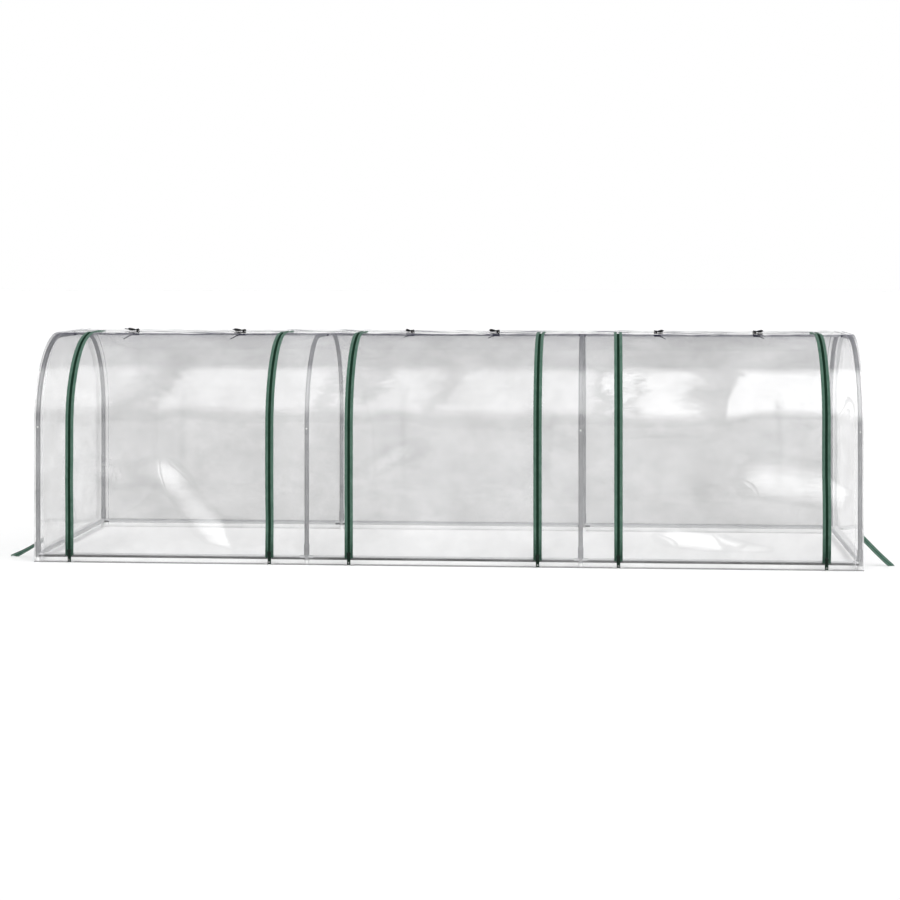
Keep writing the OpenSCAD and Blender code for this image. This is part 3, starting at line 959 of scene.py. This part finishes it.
# The panels' lower and upper edges, by elevation; those on the right hang lower, those on the left lean
PANEL_LOW = 0.24
PANEL_LOW_RIGHT = 0.16
PANEL_RISE = (-0.13, 0.17)
PANEL_FALL = (1.14, 1.42)
PANEL_LEAN = 0.018


def floor():
    """Pale ground, a little below the feet."""
    half = 60.0
    z = -0.0003
    mesh = bpy.data.meshes.new("floor")
    corners = [(-half, -half, z), (half, -half, z), (half, half, z), (-half, half, z)]
    mesh.from_pydata(corners, [], [(0, 1, 2, 3)])
    material, tree = new_material("pale_floor")
    shade = noise(tree, place(tree), 3.0)
    colour = colours(tree, shade, (0.0, (0.9, 0.9, 0.9)), (1.0, (0.93, 0.93, 0.93)))
    shader = add_node(tree, "ShaderNodeBsdfPrincipled", {"Base Color": colour, "Roughness": 0.9})
    finish_material(tree, shader.outputs["BSDF"])
    mesh.materials.append(material)
    made = bpy.data.objects.new("floor", mesh)
    bpy.context.scene.collection.objects.link(made)


def world(seen, fill, bright):
    """A white backdrop, a dim room overhead, and bright soft panels in front that show as gloss."""
    made = bpy.data.worlds.new("studio")
    made.use_nodes = True
    tree = made.node_tree
    tree.nodes.clear()
    path = add_node(tree, "ShaderNodeLightPath").outputs
    heading = add_node(tree, "ShaderNodeTexCoord").outputs["Generated"]
    axes = add_node(tree, "ShaderNodeSeparateXYZ", {"Vector": heading}).outputs
    room = remap(tree, axes["Y"], 0.5, 0.85, fill, seen)
    room = add_node(
        tree, "ShaderNodeMix", {"Factor": path["Is Camera Ray"], "A": room, "B": seen}
    ).outputs["Result"]
    plain = add_node(tree, "ShaderNodeBackground", {"Color": (1.0, 1.0, 1.0, 1.0), "Strength": room})

    over = maths(tree, "ARCTAN2", axes["Z"], maths(tree, "MULTIPLY", axes["Y"], -1.0))
    edge = remap(tree, axes["X"], -0.03, 0.01, PANEL_LOW, PANEL_LOW_RIGHT)
    rise = remap(tree, maths(tree, "SUBTRACT", over, edge), *PANEL_RISE, 0.0, 1.0, True)
    fall = remap(tree, over, *PANEL_FALL, bright, 0.0, True)
    lean = remap(tree, axes["X"], -0.03, 0.02, PANEL_LEAN, 0.0)
    lean = maths(tree, "MULTIPLY", maths(tree, "SUBTRACT", over, PANEL_LOW), lean)
    stops = []
    for left, right, value in PANELS:
        stops += [(left - PANEL_SOFT[0], PANEL_GAP), (left, value)]
        stops += [(right, value), (right + PANEL_SOFT[1], PANEL_GAP)]
    low, high = stops[0][0], stops[-1][0]
    at = remap(tree, maths(tree, "SUBTRACT", axes["X"], lean), low, high, 0.0, 1.0)
    ramp = colours(tree, at, *[((x - low) / (high - low), (value,) * 3) for x, value in stops])
    panels = maths(tree, "MULTIPLY", maths(tree, "MULTIPLY", rise, fall), ramp)
    front = add_node(tree, "ShaderNodeBackground", {"Color": (1.0, 1.0, 1.0, 1.0), "Strength": panels})
    dim = (0.045, 0.045, 0.09)
    overhead = colours(
        tree, remap(tree, over, 0.0, math.pi, 0.0, 1.0),
        (0.0, (0.4, 0.4, 0.4)), (0.40, dim), (0.955, dim), (0.98, (1.0, 1.0, 1.0)),
    )
    above = add_node(tree, "ShaderNodeBackground", {"Color": overhead, "Strength": 1.0})
    gloss = add_node(
        tree, "ShaderNodeAddShader", {0: front.outputs["Background"], 1: above.outputs["Background"]}
    )
    both = add_node(
        tree, "ShaderNodeMixShader",
        {0: path["Is Glossy Ray"], 1: plain.outputs["Background"], 2: gloss.outputs["Shader"]},
    )
    out = add_node(tree, "ShaderNodeOutputWorld")
    tree.links.new(both.outputs["Shader"], out.inputs["Surface"])
    bpy.context.scene.world = made


def softbox(name, low, high, width, power):
    """A rectangular light between the middles of its lower and upper edges, facing the tunnel."""
    low, high = Vector(low), Vector(high)
    data = bpy.data.lights.new(name, "AREA")
    data.shape = "RECTANGLE"
    data.size = width
    data.size_y = (high - low).length
    data.energy = power
    up = (high - low).normalized()
    across = Vector((1.0, 0.0, 0.0))
    back = across.cross(up)
    turn = Matrix((across, up, back)).transposed().to_4x4()
    made = bpy.data.objects.new(name, data)
    made.matrix_world = Matrix.Translation((low + high) / 2) @ turn
    made.visible_camera = False
    made.visible_glossy = False
    bpy.context.scene.collection.objects.link(made)


def sun(strength, spread, tilt, heading):
    """Even, very soft light from high in front."""
    data = bpy.data.lights.new("sky_light", "SUN")
    data.energy = strength
    data.angle = math.radians(spread)
    made = bpy.data.objects.new("sky_light", data)
    made.rotation_euler = (math.radians(tilt), 0.0, math.radians(heading))
    made.visible_glossy = False
    bpy.context.scene.collection.objects.link(made)


def camera():
    """The photograph's view: level, turned a little to the left, with the frame shifted down."""
    frame_px = 900
    focal_px = 2085.77
    horizon_px = 257.49
    data = bpy.data.cameras.new("camera")
    data.sensor_width = 36.0
    data.lens = focal_px / frame_px * data.sensor_width
    data.shift_y = -(frame_px / 2 - horizon_px) / frame_px
    data.dof.use_dof = False
    made = bpy.data.objects.new("camera", data)
    made.location = (0.5846, -7.8683, 1.0954)
    made.rotation_euler = (math.pi / 2, 0.0, 0.0757)
    bpy.context.scene.collection.objects.link(made)
    bpy.context.scene.camera = made


floor()
world(1.0, 0.36, 6.0)
sun(2.75, 60.0, 35.0, 20.0)
softbox("overhead", (0.0, 1.2, 5.0), (0.0, -1.2, 5.0), 4.0, 60)
camera()
bpy.context.scene.view_settings.view_transform = "Standard"
bpy.context.scene.cycles.transparent_max_bounces = 24
